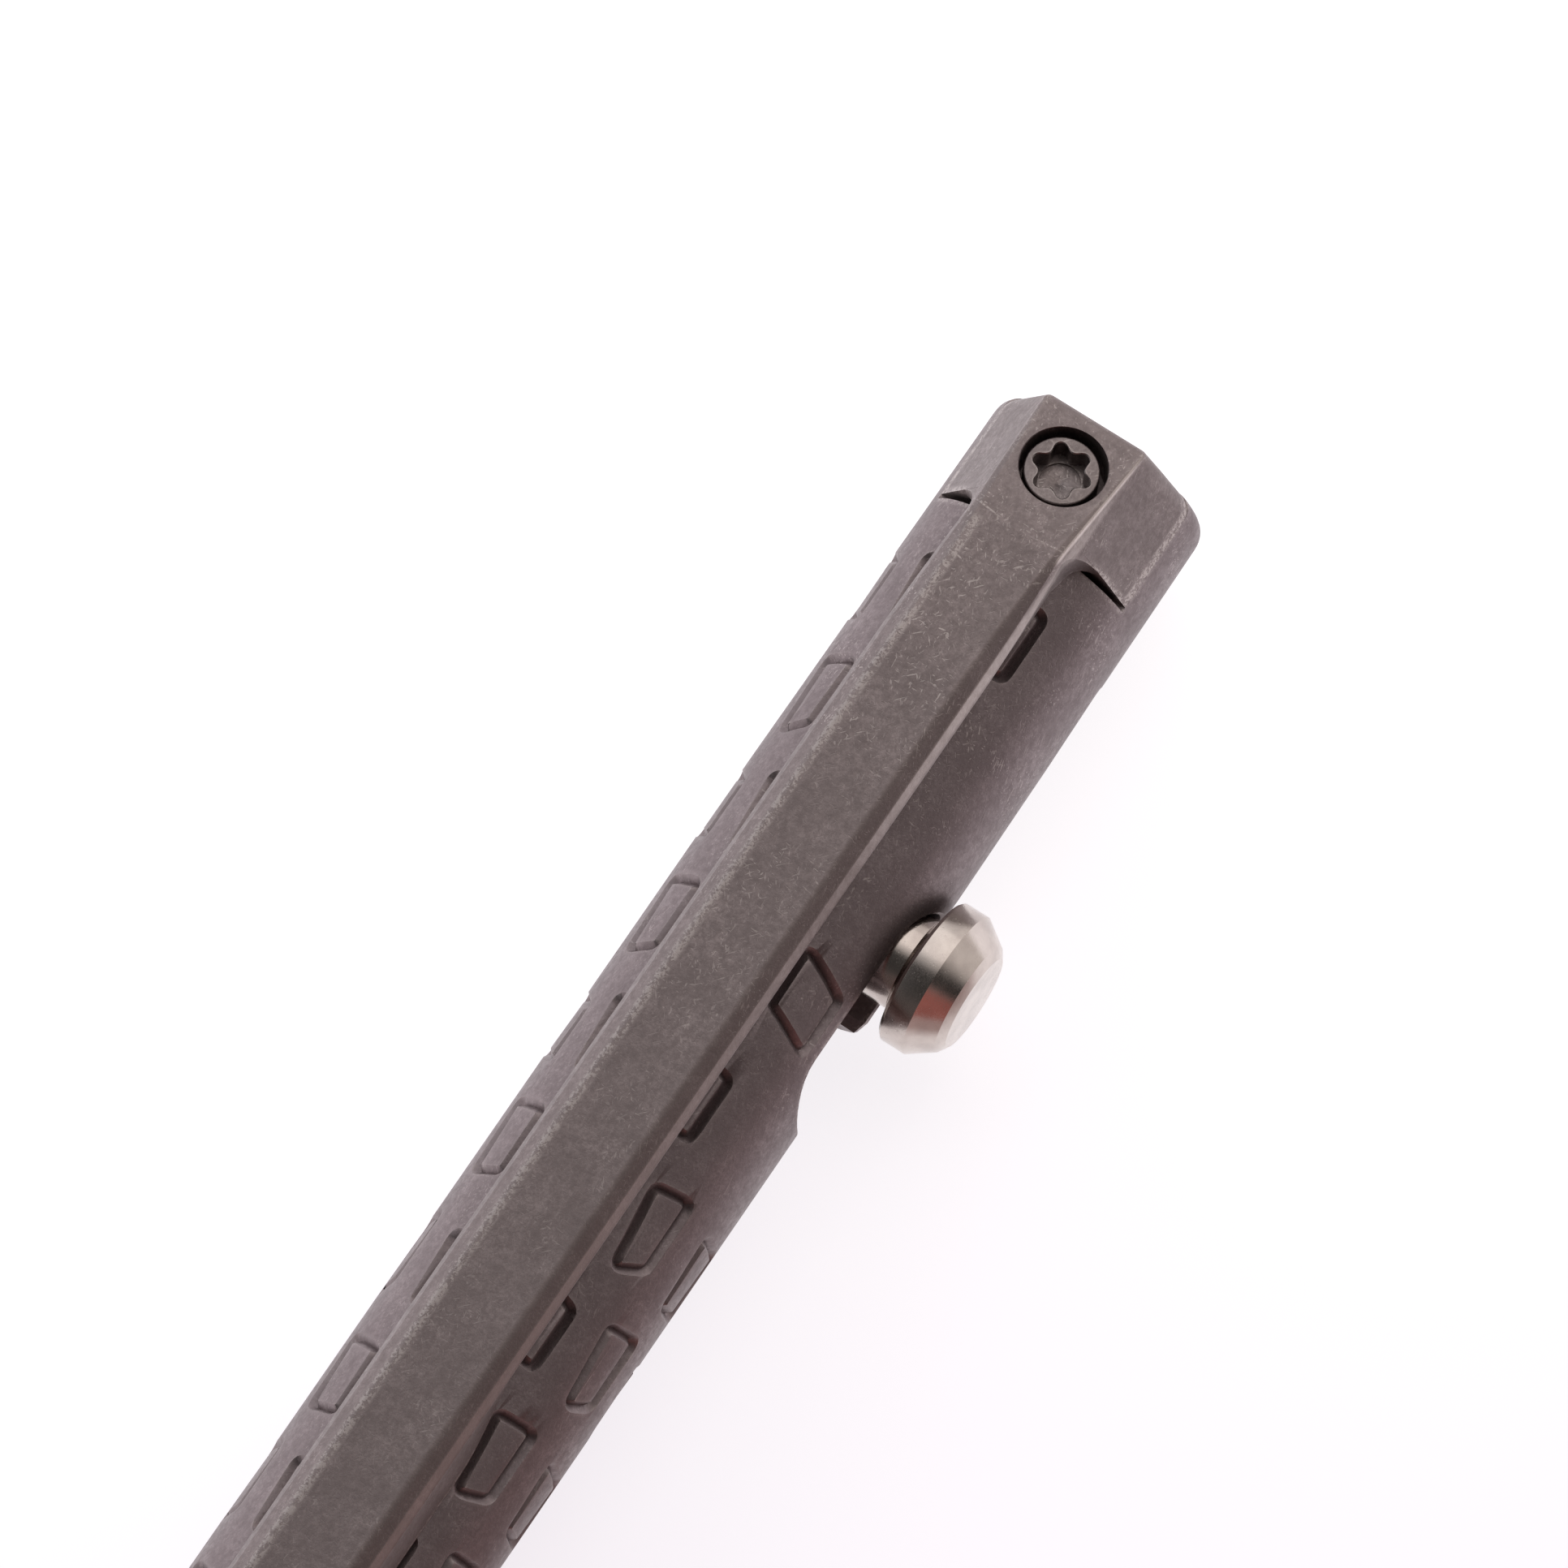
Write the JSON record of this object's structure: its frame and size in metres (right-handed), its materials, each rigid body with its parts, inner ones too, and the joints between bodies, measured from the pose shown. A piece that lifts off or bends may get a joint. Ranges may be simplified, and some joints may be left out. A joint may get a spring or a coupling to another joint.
{
  "type": "bolt action pen",
  "caption": "Bolt action ballpoint pen of bare stonewashed titanium, with a screwed-on pocket clip, milled grip pockets and a spring-loaded refill.",
  "frame": {"origin": "centre of the flat rear end face of the barrel, on the pen's axis", "axes": "+X along the pen to the writing tip, +Y the side that the bolt stands out of, +Z the side of the pocket clip"},
  "size_m": [0.138, 0.0143, 0.0137],
  "materials": {
    "titanium": "stonewashed bare titanium with fine scratches",
    "polished_titanium": "satin polished bare titanium",
    "screw_steel": "stonewashed metal",
    "spring_steel": "drawn spring wire",
    "seal_rubber": "black rubber",
    "refill_steel": "smooth drawn tube",
    "plug_plastic": "black moulded plastic",
    "ink": "black ink paste",
    "grease": "clear grease",
    "tip_brass": "turned brass",
    "ball_carbide": "ground hard metal ball"
  },
  "bodies": {
    "barrel_body": {"barrel": "titanium", "clip": "titanium", "clip_screw": "screw_steel", "nose_cone": "titanium", "nose_ring": "seal_rubber", "return_spring": "spring_steel"},
    "bolt_carriage": {"bolt_knob": "polished_titanium", "bolt_stem": "polished_titanium", "plunger": "screw_steel", "plunger_ring_rear": "seal_rubber", "plunger_ring_front": "seal_rubber", "refill_end_plug": "plug_plastic", "refill_tube": "refill_steel", "refill_ink": "ink", "refill_grease": "grease", "refill_tip_holder": "tip_brass", "refill_point": "tip_brass"},
    "writing_ball": {"refill_ball": "ball_carbide"}
  },
  "joints": [
    {"name": "bolt_slide", "type": "slide", "parent": "barrel_body", "child": "bolt_carriage", "axis": [1, 0, 0], "range_m": [0, 0.00635], "stiffness_N_per_m": 200, "springref_m": -0.004, "deforming": ["return_spring"]},
    {"name": "ball_roll", "type": "hinge", "parent": "bolt_carriage", "child": "writing_ball", "pos_m": [0.1339, 0, 0], "axis": [0, 1, 0], "continuous": true}
  ]
}
